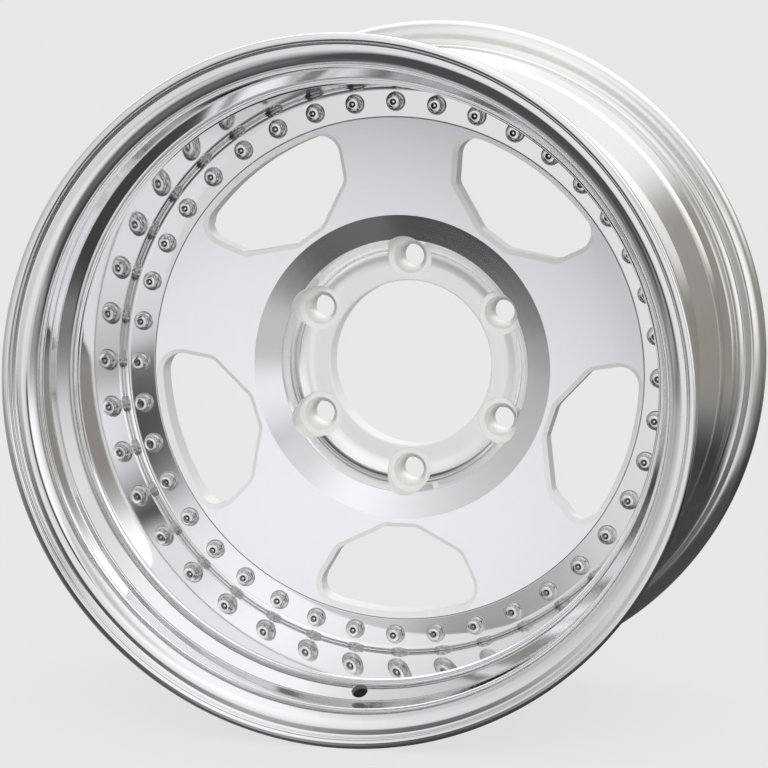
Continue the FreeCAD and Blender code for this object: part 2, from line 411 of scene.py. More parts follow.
def nearest_side(outline, centres, normals):
    """For each face the side of the outline that it lies on, or -1 where it lies on none."""
    start, run, before, after = outline_sides(outline)
    length = np.maximum(np.sum(run * run, axis=1), TINY)
    facing = before + after
    facing /= np.linalg.norm(facing, axis=1)[:, None]
    radius = np.hypot(centres[:, 0], centres[:, 2])
    flat = np.stack([radius, centres[:, 1]], axis=1)
    across = (normals[:, 0] * centres[:, 0] + normals[:, 2] * centres[:, 2]) / np.maximum(radius, TINY)
    direction = np.stack([across, normals[:, 1]], axis=1)
    best = np.full(len(flat), -1)
    least = np.full(len(flat), MATCH_DISTANCE)
    for index in range(len(outline)):
        along = np.clip(((flat - start[index]) @ run[index]) / length[index], 0, 1)
        away = flat - start[index] - along[:, None] * run[index]
        distance = np.hypot(away[:, 0], away[:, 1])
        fits = (distance < least) & (direction @ facing[index] > MATCH_DIRECTION)
        best[fits] = index
        least[fits] = distance[fits]
    return best


def set_exact_normals(mesh, outline, sides):
    """Gives the corners of each face that lies on a side of the outline the outline's own normals."""
    corners = values(mesh.corner_normals, "vector", 3)
    totals = values(mesh.polygons, "loop_total", 1).astype(int)
    owner = np.repeat(sides, totals)
    places = values(mesh.vertices, "co", 3)[values(mesh.loops, "vertex_index", 1).astype(int)] / MM
    held = owner >= 0
    spot = places[held]
    start, run, before, after = [part[owner[held]] for part in outline_sides(outline)]
    radius = np.hypot(spot[:, 0], spot[:, 2])
    offset = np.stack([radius, spot[:, 1]], axis=1) - start
    along = np.sum(offset * run, axis=1) / np.maximum(np.sum(run * run, axis=1), TINY)
    along = np.clip(along, 0, 1)[:, None]
    flat = before * (1 - along) + after * along
    flat /= np.linalg.norm(flat, axis=1)[:, None]
    corners[held, 0] = flat[:, 0] * spot[:, 0] / radius
    corners[held, 1] = flat[:, 1]
    corners[held, 2] = flat[:, 0] * spot[:, 2] / radius
    mesh.normals_split_custom_set(corners.tolist())


def dress(piece, outline, finishes, other):
    """Gives a turned piece exact normals, and each face the finish of its stretch of the outline.
    Faces of holes and windows get the finish that other(centres, normals) names for them."""
    mesh = piece.data
    mesh.materials.clear()
    rank = {}
    for name, finish in finishes.items():
        rank[name] = len(mesh.materials)
        mesh.materials.append(finish)
    mesh.shade_smooth()
    mesh.set_sharp_from_angle(angle=SMOOTH_LIMIT)
    centres = values(mesh.polygons, "center", 3) / MM
    facing = values(mesh.polygons, "normal", 3)
    sides = nearest_side(outline, centres, facing)
    names = np.array([point[3] for point in outline])
    chosen = np.where(sides >= 0, names[sides], other(centres, facing))
    mesh.polygons.foreach_set("material_index", np.array([rank[name] for name in chosen], dtype=np.int32))
    set_exact_normals(mesh, outline, sides)


# Outer rim half
def bead_flange(side, inside, outside):
    """Corners of a flange, its seat and hump, from the dish of the flange to the end of the hump."""
    dish_radius = FLANGE_RADIUS - FLANGE_EDGE_WIDTH
    return [
        (dish_radius, side * FLANGE_DISH_Y, FLANGE_DISH_ROUND, inside),
        (dish_radius, side * RIM_FACE_Y, FLANGE_EDGE_ROUND, inside),
        (FLANGE_RADIUS, side * RIM_FACE_Y, FLANGE_EDGE_ROUND, inside),
        (FLANGE_RADIUS, side * SEAT_EDGE_Y, FLANGE_BEND, outside),
        (SEAT_RADIUS, side * SEAT_EDGE_Y, SEAT_CORNER_ROUND, outside),
        (SEAT_INNER_RADIUS, side * SEAT_INNER_Y, 0, outside),
        (HUMP_RADIUS, side * HUMP_Y, 0, outside),
    ]


def sheet_shift(rise, run):
    """How far the far side of a sheet's ramp lies behind its near side."""
    return RIM_SHEET * math.tan(math.atan2(rise, run) / 2)


def bolt_hole_cutter(y_start, y_end):
    """The rim bolts' clearance holes as one cutter."""
    hole = round_cutter("bolt_holes", [(BOLT_HOLE_RADIUS, y_start), (BOLT_HOLE_RADIUS, y_end)],
                        BOLT_CIRCLE_RADIUS, BOLT_HOLE_STEPS)
    return new_object("bolt_holes", around(hole, BOLT_COUNT))


def valve_cutter():
    """Countersunk bar square to the step of the lip, at the bottom of the wheel."""
    rise = LIP_THROAT_RADIUS - LIP_WALL_RADIUS - LIP_WALL_FLARE
    run = STEP_REAR_Y - STEP_FRONT_Y
    levels = [
        (VALVE_HOLE_RADIUS + VALVE_EDGE_CUT + VALVE_ENTRY, -VALVE_ENTRY),
        (VALVE_HOLE_RADIUS, VALVE_EDGE_CUT),
        (VALVE_HOLE_RADIUS, VALVE_BAR_LENGTH),
    ]
    bar = round_cutter("valve_hole", levels, 0.0, VALVE_STEPS)
    middle = Vector((0, (STEP_FRONT_Y + STEP_REAR_Y) / 2, rise / 2 - LIP_THROAT_RADIUS)) * MM
    tilt = Matrix.Rotation(-math.atan2(run, rise), 4, "X")
    bar.transform(Matrix.Translation(middle) @ tilt)
    return new_object("valve_hole", bar)


def make_outer_rim(finishes):
    """Lip with its flange, seat, step and bolt land."""
    front_radius = LIP_WALL_RADIUS + LIP_WALL_FLARE
    back_radius = LIP_THROAT_RADIUS + RIM_SHEET
    shift = sheet_shift(LIP_THROAT_RADIUS - front_radius, STEP_REAR_Y - STEP_FRONT_Y)
    corners = [
        (OPENING_RADIUS, LAND_Y, OPENING_EDGE_ROUND, "polished"),
        (LIP_WALL_RADIUS, LAND_Y, LAND_ROUND, "polished"),
        (front_radius, STEP_REAR_Y, STEP_ROUND, "polished"),
        (LIP_THROAT_RADIUS, STEP_FRONT_Y, THROAT_ROUND, "polished"),
        (LIP_THROAT_RADIUS + LIP_MOUTH_FLARE, -FLANGE_DISH_Y, LIP_MOUTH_ROUND, "polished"),
    ]
    corners += bead_flange(-1, "polished", "turned")
    corners += [
        (back_radius, STEP_FRONT_Y + shift, 0, "turned"),
        (front_radius + RIM_SHEET, STEP_REAR_Y + shift, 0, "turned"),
        (WELL_RADIUS, JOINT_Y, JOINT_EDGE_ROUND, "turned"),
        (OPENING_RADIUS, JOINT_Y, 0, "turned"),
    ]
    outline = rounded_outline(corners)
    piece = new_object("polished_lip", turned_mesh("polished_lip", outline))
    cut_away(piece, [bolt_hole_cutter(LAND_Y - RIM_SHEET, JOINT_Y + RIM_SHEET), valve_cutter()])
    dress(piece, outline, finishes, lambda centres, facing: "cut")
    return piece


# Inner rim half
def make_inner_rim(finishes):
    """Barrel with its clamping flange, well, drum, seat and rear flange."""
    shift = sheet_shift(DRUM_RADIUS - WELL_RADIUS, DRUM_START_Y - WELL_END_Y)
    well_bore = WELL_RADIUS - RIM_SHEET
    drum_bore = DRUM_RADIUS - RIM_SHEET
    corners = [
        (OPENING_RADIUS, JOINT_Y, 0, "inside"),
        (OPENING_RADIUS, CLAMP_Y, 0, "inside"),
        (well_bore, CLAMP_Y, CLAMP_CORNER_ROUND, "inside"),
        (well_bore, WELL_END_Y + shift, DRUM_ROUND, "inside"),
        (drum_bore, DRUM_START_Y + shift, DRUM_ROUND, "inside"),
        (drum_bore, FLANGE_DISH_Y, LIP_MOUTH_ROUND, "inside"),
    ]
    corners += bead_flange(1, "inside", "turned")
    corners += [
        (DRUM_RADIUS, HUMP_END_Y, 0, "turned"),
        (DRUM_RADIUS, DRUM_START_Y, 0, "turned"),
        (WELL_RADIUS, WELL_END_Y, 0, "turned"),
        (WELL_RADIUS, JOINT_Y, JOINT_EDGE_ROUND, "inside"),
    ]
    outline = rounded_outline(corners)
    piece = new_object("barrel", turned_mesh("barrel", outline))
    cut_away(piece, [bolt_hole_cutter(JOINT_Y - RIM_SHEET, CLAMP_Y + RIM_SHEET)])
    dress(piece, outline, finishes, lambda centres, facing: "cut")
    return piece


# Centre disc
def face_y(radius):
    """Depth of the disc's dished front face at a radius."""
    share = (PILOT_RADIUS - radius) / (PILOT_RADIUS - FACE_INNER_RADIUS)
    return LAND_Y + (FACE_INNER_Y - LAND_Y) * share


def window_outline():
    """Outline of the window that points up, as points with normals."""
    lean = Vector((math.sin(WINDOW_SIDE_SLANT), math.cos(WINDOW_SIDE_SLANT)))
    inward = Vector((-lean.y, lean.x))
    shoulder = Vector((WINDOW_SHOULDER_HALF_WIDTH, WINDOW_SHOULDER_HEIGHT))
    offset = shoulder + inward * WINDOW_OUTER_ROUND
    reach = WINDOW_OUTER_RADIUS - WINDOW_OUTER_ROUND
    along = offset.dot(lean)
    climb = math.sqrt(along * along - offset.length_squared + reach * reach) - along
    centre = offset + lean * climb
    first = math.atan2(-inward.y, -inward.x)
    last = math.atan2(centre.y, centre.x)
    right = []
    for step in range(WINDOW_CORNER_STEPS + 1):
        angle = first + (last - first) * step / WINDOW_CORNER_STEPS
        right.append(centre + Vector((math.cos(angle), math.sin(angle))) * WINDOW_OUTER_ROUND)
    arc = []
    for step in range(1, WINDOW_ARC_STEPS):
        angle = last + (math.pi - 2 * last) * step / WINDOW_ARC_STEPS
        arc.append(Vector((math.cos(angle), math.sin(angle))) * WINDOW_OUTER_RADIUS)
    left = [Vector((-point.x, point.y)) for point in reversed(right)]
    corners = [
        (-WINDOW_FLOOR_HALF_WIDTH, WINDOW_FLOOR_HEIGHT, WINDOW_INNER_ROUND, "side"),
        (WINDOW_FLOOR_HALF_WIDTH, WINDOW_FLOOR_HEIGHT, WINDOW_INNER_ROUND, "side"),
        (shoulder.x, shoulder.y, WINDOW_INNER_ROUND, "side"),
    ]
    corners += [(point.x, point.y, 0, "side") for point in right + arc + left]
    corners.append((-shoulder.x, shoulder.y, WINDOW_INNER_ROUND, "side"))
    return rounded_outline(corners)


def window_cutter():
    """All windows as one cutter that flares into a chamfer at the disc's front face."""
    reach = WINDOW_CHAMFER + WINDOW_CUT_OVERRUN
    back = []
    inner = []
    outer = []
    for point, normal_in, normal_out, name in window_outline():
        normal = (normal_in + normal_out).normalized()
        chamfer_y = face_y(point.length) + WINDOW_CHAMFER
        edge = point + normal * WINDOW_CHAMFER
        rise = (face_y(edge.length) - chamfer_y) / WINDOW_CHAMFER
        lip = point + normal * reach
        lip_y = chamfer_y + rise * reach
        back.append(Vector((point.x, HUB_FACE_Y, point.y)) * MM)
        inner.append(Vector((point.x, chamfer_y, point.y)) * MM)
        outer.append(Vector((lip.x, lip_y, lip.y)) * MM)
    window = swept_mesh("windows", [back, inner, outer])
    return new_object("windows", around(window, WINDOW_COUNT, math.pi / WINDOW_COUNT))


def lug_cutter():
    """Socket clearance, conical seat and through hole of the wheel nuts as one cutter."""
    seat_y = PAD_Y + LUG_SOCKET_DEPTH
    seat_depth = (LUG_SEAT_RADIUS - LUG_HOLE_RADIUS) / math.tan(LUG_SEAT_HALF_ANGLE)
    levels = [
        (LUG_SOCKET_RADIUS, -LAND_Y),
        (LUG_SOCKET_RADIUS, seat_y),
        (LUG_SEAT_RADIUS, seat_y),
        (LUG_HOLE_RADIUS, seat_y + seat_depth),
        (LUG_HOLE_RADIUS, HUB_FACE_Y + RIM_SHEET),
    ]
    hole = round_cutter("lugs", levels, LUG_CIRCLE_RADIUS, LUG_STEPS)
    return new_object("lugs", around(hole, LUG_COUNT))


def disc_cut_finish(centres, facing):
    """Finish of a cut face of the disc: nut seats, window chamfers or window walls."""
    radius = np.hypot(centres[:, 0], centres[:, 2])
    window = np.where(facing[:, 1] < -CHAMFER_TILT, "chamfer", "wall")
    return np.where(radius < FACE_INNER_RADIUS, "seat", window)


def make_disc(finishes):
    """Dished disc with its flange, windows, collar, cove, hub pad and nut seats."""
    corners = [
        (PILOT_RADIUS, LAND_Y, OPENING_EDGE_ROUND, "face"),
        (FACE_INNER_RADIUS, FACE_INNER_Y, COLLAR_EDGE_ROUND, "collar"),
        (COLLAR_INNER_RADIUS, COLLAR_INNER_Y, COVE_EDGE_ROUND, "cove"),
        (PAD_CORNER_RADIUS, PAD_Y, COVE_ROUND, "pad"),
        (BORE_RADIUS, PAD_Y, BORE_EDGE_ROUND, "bore"),
        (BORE_RADIUS, HUB_FACE_Y, BORE_EDGE_ROUND, "back"),
        (HUB_RADIUS, HUB_FACE_Y, BORE_EDGE_ROUND, "back"),
        (FACE_INNER_RADIUS, FACE_INNER_Y + WEB_THICKNESS, HUB_BLEND, "back"),
        (WEB_OUTER_RADIUS, face_y(WEB_OUTER_RADIUS) + WEB_THICKNESS, 0, "back"),
        (WEB_OUTER_RADIUS + OPENING_EDGE_ROUND, DISC_BACK_Y, 0, "back"),
        (DISC_EDGE_RADIUS, DISC_BACK_Y, BORE_EDGE_ROUND, "back"),
        (DISC_EDGE_RADIUS, CLAMP_Y + CLAMP_CORNER_ROUND, 0, "back"),
        (DISC_EDGE_RADIUS - CLAMP_CORNER_ROUND, CLAMP_Y, 0, "back"),
        (PILOT_RADIUS, CLAMP_Y, 0, "back"),
    ]
    outline = rounded_outline(corners)
    piece = new_object("disc", turned_mesh("disc", outline))
    bolts = bolt_hole_cutter(CLAMP_Y - RIM_SHEET, DISC_BACK_Y + RIM_SHEET)
    cut_away(piece, [window_cutter(), lug_cutter(), bolts])
    dress(piece, outline, finishes, disc_cut_finish)
    return piece


# Rim bolts and nuts
def star_ring(radius, root_radius, y):
    """Ring of a many-pointed head at a depth, between its tips and its roots."""
    ring = []
    count = 2 * BOLT_HEAD_POINTS
    for index in range(count):
        angle = index * FULL_TURN / count
        reach = radius if index % 2 == 0 else root_radius
        ring.append(Vector((reach * math.sin(angle), y, reach * math.cos(angle))) * MM)
    return ring


def round_ring(radius, y):
    """Round ring with as many points as a bolt head's outline."""
    return star_ring(radius, radius, y)


def bolt_mesh():
    """One rim bolt on the axle's line: shank, rounded flange and twelve-point head with a dimple."""
    flange_y = LAND_Y - BOLT_FLANGE_THICKNESS
    top_y = flange_y - BOLT_HEAD_HEIGHT
    floor_y = top_y + BOLT_DIMPLE_DEPTH
    root = BOLT_HEAD_RADIUS * math.cos(FULL_TURN / BOLT_HEAD_POINTS / 2) ** 2 * BOLT_ROOT_SHARE
    neck = BOLT_HEAD_RADIUS + BOLT_NECK_GAP
    # Each ring carries a painted shade: shank, flange and head sides darkened, the dimple darker, the top
    # and the dimple's floor left unshaded
    rings = [
        (round_ring(BOLT_RADIUS - BOLT_END_CUT, BOLT_END_Y), BODY_PAINTED_SHADE),
        (round_ring(BOLT_RADIUS, BOLT_END_Y - BOLT_END_CUT), BODY_PAINTED_SHADE),
        (round_ring(BOLT_RADIUS, LAND_Y), BODY_PAINTED_SHADE),
    ]
    for step in range(BOLT_FLANGE_STEPS + 1):
        turn = step / BOLT_FLANGE_STEPS * FULL_TURN / 4
        reach = neck + (BOLT_FLANGE_RADIUS - neck) * math.cos(turn)
        rings.append((round_ring(reach, LAND_Y - BOLT_FLANGE_THICKNESS * math.sin(turn)), BODY_PAINTED_SHADE))
    rings += [
        (star_ring(BOLT_HEAD_RADIUS, root, flange_y - BOLT_NECK_HEIGHT), BODY_PAINTED_SHADE),
        (star_ring(BOLT_HEAD_RADIUS, root, top_y + BOLT_CROWN_HEIGHT), BODY_PAINTED_SHADE),
        (star_ring(BOLT_HEAD_RADIUS - BOLT_TIP_CUT, root - BOLT_ROOT_CUT, top_y + BOLT_TIP_CUT), BODY_PAINTED_SHADE),
        (round_ring(root - BOLT_TOP_EDGE, top_y + BOLT_TOP_EDGE_DEPTH), UNSHADED),
        (round_ring(root - BOLT_TOP_INSET, top_y), UNSHADED),
        (round_ring(BOLT_DIMPLE_RADIUS + BOLT_DIMPLE_EDGE, top_y), UNSHADED),
        (round_ring(BOLT_DIMPLE_RADIUS, top_y + BOLT_DIMPLE_EDGE_DEPTH), DIMPLE_PAINTED_SHADE),
        (round_ring(BOLT_DIMPLE_FLOOR_RADIUS + BOLT_DIMPLE_EDGE, floor_y), DIMPLE_PAINTED_SHADE),
        (round_ring(BOLT_DIMPLE_FLOOR_RADIUS, floor_y), UNSHADED),
        (round_ring(BOLT_DIMPLE_TIP_RADIUS, floor_y), UNSHADED),
    ]
    mesh = swept_mesh("bolt", [ring for ring, painted_shade in rings])
    painted_shades = mesh.attributes.new(SHADE_ATTRIBUTE, "FLOAT", "POINT")
    painted_shades.data.foreach_set("value", [painted_shade for ring, painted_shade in rings for point in ring])
    return mesh


def hex_ring(radius, y):
    """Ring of a nut's six-sided outline, kept within a radius."""
    half_side = FULL_TURN / NUT_SIDES / 2
    ring = []
    for index in range(NUT_STEPS):
        angle = index * FULL_TURN / NUT_STEPS
        bend = (angle % (FULL_TURN / NUT_SIDES)) - half_side
        reach = min(radius, NUT_CORNER_RADIUS * math.cos(half_side) / math.cos(bend))
        ring.append(Vector((reach * math.sin(angle), y, reach * math.cos(angle))) * MM)
    return ring


def hex_round(radius, y):
    """Round ring with as many points as a nut's outline."""
    angles = [index * FULL_TURN / NUT_STEPS for index in range(NUT_STEPS)]
    return [Vector((radius * math.sin(angle), y, radius * math.cos(angle))) * MM for angle in angles]


def nut_mesh():
    """One flanged nut on the axle's line, behind the disc."""
    base = DISC_BACK_Y
    top = base + NUT_HEIGHT
    hole = BOLT_RADIUS + NUT_CLEARANCE
    return ring_tube("nut", [
        hex_round(hole, base),
        hex_round(NUT_FLANGE_RADIUS, base),
        hex_round(NUT_FLANGE_RADIUS, base + NUT_FLANGE_EDGE),
        hex_ring(NUT_CORNER_RADIUS, base + NUT_FLANGE_HEIGHT),
        hex_ring(NUT_CORNER_RADIUS, top - NUT_TOP_CUT),
        hex_ring(NUT_CORNER_RADIUS - NUT_TOP_INSET, top),
        hex_round(hole, top),
    ])


def ring_of_pieces(name, mesh, material):
    """Copies of one small piece on the bolt circle, each turned about itself by chance."""
    tree = bpy.data.node_groups.new(name + "_ring", "GeometryNodeTree")
    tree.interface.new_socket("Piece", in_out="INPUT", socket_type="NodeSocketGeometry")
    tree.interface.new_socket("Count", in_out="INPUT", socket_type="NodeSocketInt")
    tree.interface.new_socket("Radius", in_out="INPUT", socket_type="NodeSocketFloat")
    tree.interface.new_socket("Ring", in_out="OUTPUT", socket_type="NodeSocketGeometry")
    nodes = tree.nodes
    links = tree.links
    given = nodes.new("NodeGroupInput")
    points = nodes.new("GeometryNodeMeshLine")
    points.inputs["Offset"].default_value = (0, 0, 0)
    placed = nodes.new("GeometryNodeInstanceOnPoints")
    links.new(given.outputs["Count"], points.inputs["Count"])
    links.new(points.outputs["Mesh"], placed.inputs["Points"])
    links.new(given.outputs["Piece"], placed.inputs["Instance"])
    chance = nodes.new("FunctionNodeRandomValue")
    chance.data_type = "FLOAT"
    chance.inputs["Max"].default_value = FULL_TURN / NUT_SIDES
    chance.inputs["Seed"].default_value = RING_SEED
    own_turn = nodes.new("ShaderNodeCombineXYZ")
    links.new(chance.outputs["Value"], own_turn.inputs["Y"])
    spun = nodes.new("GeometryNodeRotateInstances")
    links.new(placed.outputs["Instances"], spun.inputs["Instances"])
    links.new(own_turn.outputs["Vector"], spun.inputs["Rotation"])
    height = nodes.new("ShaderNodeCombineXYZ")
    links.new(given.outputs["Radius"], height.inputs["Z"])
    lifted = nodes.new("GeometryNodeTranslateInstances")
    lifted.inputs["Local Space"].default_value = False
    links.new(spun.outputs["Instances"], lifted.inputs["Instances"])
    links.new(height.outputs["Vector"], lifted.inputs["Translation"])
    number = nodes.new("GeometryNodeInputIndex")
    share = maths(tree, "DIVIDE", number.outputs["Index"], given.outputs["Count"])
    place_turn = nodes.new("ShaderNodeCombineXYZ")
    links.new(maths(tree, "MULTIPLY", share, FULL_TURN), place_turn.inputs["Y"])
    spread = nodes.new("GeometryNodeRotateInstances")
    spread.inputs["Local Space"].default_value = False
    links.new(lifted.outputs["Instances"], spread.inputs["Instances"])
    links.new(place_turn.outputs["Vector"], spread.inputs["Rotation"])
    real = nodes.new("GeometryNodeRealizeInstances")
    links.new(spread.outputs["Instances"], real.inputs["Geometry"])
    coat = nodes.new("GeometryNodeSetMaterial")
    coat.inputs["Material"].default_value = material
    links.new(real.outputs["Geometry"], coat.inputs["Geometry"])
    result = nodes.new("NodeGroupOutput")
    links.new(coat.outputs["Geometry"], result.inputs["Ring"])
    piece = new_object(name, mesh)
    modifier = piece.modifiers.new("ring", "NODES")
    modifier.node_group = tree
    sockets = {item.name: item.identifier for item in tree.interface.items_tree if item.in_out == "INPUT"}
    modifier[sockets["Count"]] = BOLT_COUNT
    modifier[sockets["Radius"]] = BOLT_CIRCLE_RADIUS * MM
    settle(piece)
    piece.data.materials.clear()
    piece.data.materials.append(material)
    piece.data.polygons.foreach_set("material_index", np.zeros(len(piece.data.polygons), dtype=np.int32))
    piece.data.shade_smooth()
    piece.data.set_sharp_from_angle(angle=SMOOTH_LIMIT)
    return piece


# Shader groups shared by the finishes
MARK_DEPTH = 0.02
MARK_SHIFT = 0.73
FINE_SHARE = 0.4
BROAD_SHARE = 0.6
NOISE_MIDDLE = 0.5
MIX_SHARE = 0
MIX_FIRST = 6
MIX_SECOND = 7
MIX_RESULT = 2


def new_group(name, inputs, outputs):
    """Empty shader group with named float sockets, and its input and output nodes."""
    tree = bpy.data.node_groups.new(name, "ShaderNodeTree")
    for label, value in inputs:
        socket = tree.interface.new_socket(label, in_out="INPUT", socket_type="NodeSocketFloat")
        socket.default_value = value
    for label in outputs:
        tree.interface.new_socket(label, in_out="OUTPUT", socket_type="NodeSocketFloat")
    return tree, tree.nodes.new("NodeGroupInput"), tree.nodes.new("NodeGroupOutput")


def maths(tree, operation, first, second=None):
    """Math node on two values, each a socket or a number, and its result."""
    node = tree.nodes.new("ShaderNodeMath")
    node.operation = operation
    for index, value in enumerate((first, second)):
        if isinstance(value, (int, float)):
            node.inputs[index].default_value = value
        elif value is not None:
            tree.links.new(value, node.inputs[index])
    return node.outputs["Value"]


def colour_mix(tree, share, first, second, way="MIX"):
    """Mix of two colours, each a socket or a plain value, the share being that of the second."""
    node = tree.nodes.new("ShaderNodeMix")
    node.data_type = "RGBA"
    node.blend_type = way
    for index, value in ((MIX_SHARE, share), (MIX_FIRST, first), (MIX_SECOND, second)):
        if isinstance(value, bpy.types.NodeSocket):
            tree.links.new(value, node.inputs[index])
        else:
            node.inputs[index].default_value = value
    return node.outputs[MIX_RESULT]


def turned_place(tree):
    """Object coordinates, the distance from the axle and the place along it, in metres."""
    place = tree.nodes.new("ShaderNodeTexCoord").outputs["Object"]
    split = tree.nodes.new("ShaderNodeSeparateXYZ")
    tree.links.new(place, split.inputs["Vector"])
    across = maths(tree, "MULTIPLY", split.outputs["X"], split.outputs["X"])
    upward = maths(tree, "MULTIPLY", split.outputs["Z"], split.outputs["Z"])
    radius = maths(tree, "SQRT", maths(tree, "ADD", across, upward))
    return place, radius, split.outputs["Y"]


def lathe_marks_group():
    """Fine rings left by a lathe tool, which run round the axle on faces and walls alike."""
    tree, given, result = new_group(
        "lathe_marks", [("Lines per mm", 2.0), ("Unevenness", 0.35)], ["Height", "Shade"])
    place, radius, depth = turned_place(tree)
    along = maths(tree, "ADD", radius, maths(tree, "MULTIPLY", depth, MARK_SHIFT))
    scaled = maths(tree, "MULTIPLY", maths(tree, "MULTIPLY", along, 1 / MM), given.outputs["Lines per mm"])
    fine = tree.nodes.new("ShaderNodeTexNoise")
    fine.noise_dimensions = "1D"
    fine.inputs["Detail"].default_value = 2.0
    tree.links.new(scaled, fine.inputs["W"])
    fine.inputs["Scale"].default_value = 1.0
    broad = tree.nodes.new("ShaderNodeTexNoise")
    broad.noise_dimensions = "1D"
    broad.inputs["Scale"].default_value = 0.12
    tree.links.new(scaled, broad.inputs["W"])
    drift = tree.nodes.new("ShaderNodeTexNoise")
    drift.inputs["Scale"].default_value = 9.0
    tree.links.new(place, drift.inputs["Vector"])
    swing = maths(tree, "SUBTRACT", drift.outputs["Fac"], NOISE_MIDDLE)
    uneven = maths(tree, "MULTIPLY", swing, given.outputs["Unevenness"])
    shade = maths(tree, "ADD", maths(tree, "MULTIPLY", broad.outputs["Fac"], BROAD_SHARE),
                  maths(tree, "MULTIPLY", fine.outputs["Fac"], FINE_SHARE))
    tree.links.new(fine.outputs["Fac"], result.inputs["Height"])
    tree.links.new(maths(tree, "ADD", shade, uneven), result.inputs["Shade"])
    return tree


def handling_group():
    """Faint haze of handling and polish, uneven over the surface, from 0 to 1."""
    tree, given, result = new_group("handling", [("Scale", 14.0)], ["Haze"])
    place = tree.nodes.new("ShaderNodeTexCoord").outputs["Object"]
    cloud = tree.nodes.new("ShaderNodeTexNoise")
    cloud.inputs["Detail"].default_value = 5.0
    cloud.inputs["Roughness"].default_value = 0.6
    tree.links.new(place, cloud.inputs["Vector"])
    tree.links.new(given.outputs["Scale"], cloud.inputs["Scale"])
    level = tree.nodes.new("ShaderNodeMapRange")
    level.inputs["From Min"].default_value = 0.35
    level.inputs["From Max"].default_value = 0.75
    tree.links.new(cloud.outputs["Fac"], level.inputs["Value"])
    tree.links.new(level.outputs["Result"], result.inputs["Haze"])
    return tree


LATHE = lathe_marks_group()
HANDLING = handling_group()


# Finishes
def alloy(name, colour, dark, metallic, roughness, haze, lines, line_bump, line_rough, with_painted_shade=False):
    """Metal finish with lathe lines and a haze of handling. Colour runs from dark to colour with the lines,
    and a finish with painted shade is darkened by the painted shade stored on the mesh."""
    made = bpy.data.materials.new(name)
    made.use_nodes = True
    tree = made.node_tree
    shader = tree.nodes["Principled BSDF"]
    shader.inputs["Metallic"].default_value = metallic
    marks = tree.nodes.new("ShaderNodeGroup")
    marks.node_tree = LATHE
    marks.inputs["Lines per mm"].default_value = lines
    cloud = tree.nodes.new("ShaderNodeGroup")
    cloud.node_tree = HANDLING
    shaded = colour_mix(tree, marks.outputs["Shade"], (*dark, 1), (*colour, 1))
    # Painted shade: the colour is darkened by the shade stored on the mesh
    if with_painted_shade:
        painted_shade = tree.nodes.new("ShaderNodeAttribute")
        painted_shade.attribute_name = SHADE_ATTRIBUTE
        shaded = colour_mix(tree, 1.0, shaded, painted_shade.outputs["Color"], "MULTIPLY")
    tree.links.new(shaded, shader.inputs["Base Color"])
    hazed = maths(tree, "MULTIPLY", cloud.outputs["Haze"], haze)
    lined = maths(tree, "MULTIPLY", marks.outputs["Shade"], line_rough)
    rough = maths(tree, "ADD", maths(tree, "ADD", hazed, lined), roughness)
    tree.links.new(rough, shader.inputs["Roughness"])
    bump = tree.nodes.new("ShaderNodeBump")
    bump.inputs["Strength"].default_value = line_bump
    bump.inputs["Distance"].default_value = MARK_DEPTH * MM
    tree.links.new(marks.outputs["Height"], bump.inputs["Height"])
    tree.links.new(bump.outputs["Normal"], shader.inputs["Normal"])
    return made


POLISHED = alloy(
    "polished_alloy", (0.93, 0.93, 0.94), (0.90, 0.90, 0.91), metallic=1.0,
    roughness=0.035, haze=0.03, lines=3.0, line_bump=0.0, line_rough=0.02)
TURNED = alloy(
    "turned_alloy", (0.80, 0.79, 0.77), (0.70, 0.69, 0.66), metallic=1.0,
    roughness=0.24, haze=0.08, lines=1.6, line_bump=0.30, line_rough=0.10)
BARREL = alloy(
    "barrel_alloy", (0.90, 0.895, 0.88), (0.85, 0.845, 0.83), metallic=1.0,
    roughness=0.12, haze=0.08, lines=1.6, line_bump=0.20, line_rough=0.06)
CUT = alloy(
    "cut_alloy", (0.86, 0.85, 0.83), (0.78, 0.77, 0.75), metallic=0.9,
    roughness=0.28, haze=0.06, lines=2.2, line_bump=0.15, line_rough=0.05)
FACE = alloy(
    "satin_alloy", (0.88, 0.88, 0.91), (0.86, 0.86, 0.89), metallic=0.2,
    roughness=0.5, haze=0.05, lines=2.4, line_bump=0.12, line_rough=0.06)
COLLAR = alloy(
    "collar_alloy", (0.90, 0.905, 0.92), (0.85, 0.855, 0.87), metallic=1.0,
    roughness=0.13, haze=0.03, lines=2.0, line_bump=0.25, line_rough=0.06)
COVE = alloy(
    "cove_alloy", (0.93, 0.935, 0.93), (0.90, 0.905, 0.90), metallic=1.0,
    roughness=0.10, haze=0.03, lines=2.2, line_bump=0.0, line_rough=0.02)
PAD = alloy(
    "pad_alloy", (0.95, 0.95, 0.945), (0.92, 0.92, 0.915), metallic=0.6,
    roughness=0.26, haze=0.04, lines=2.2, line_bump=0.04, line_rough=0.04)
BORE = alloy(
    "bore_alloy", (0.96, 0.96, 0.95), (0.93, 0.93, 0.92), metallic=0.05,
    roughness=0.40, haze=0.05, lines=2.2, line_bump=0.1, line_rough=0.05)
SEAT = alloy(
    "seat_alloy", (0.90, 0.89, 0.865), (0.85, 0.84, 0.815), metallic=0.3,
    roughness=0.30, haze=0.05, lines=2.6, line_bump=0.1, line_rough=0.04)
WINDOW = alloy(
    "window_alloy", (0.92, 0.915, 0.90), (0.88, 0.875, 0.86), metallic=0.25,
    roughness=0.32, haze=0.05, lines=2.6, line_bump=0.1, line_rough=0.04)
BOLT_STEEL = alloy(
    "bolt_steel", (0.86, 0.86, 0.86), (0.80, 0.80, 0.80), metallic=1.0,
    roughness=0.05, haze=0.04, lines=3.0, line_bump=0.0, line_rough=0.02, with_painted_shade=True)
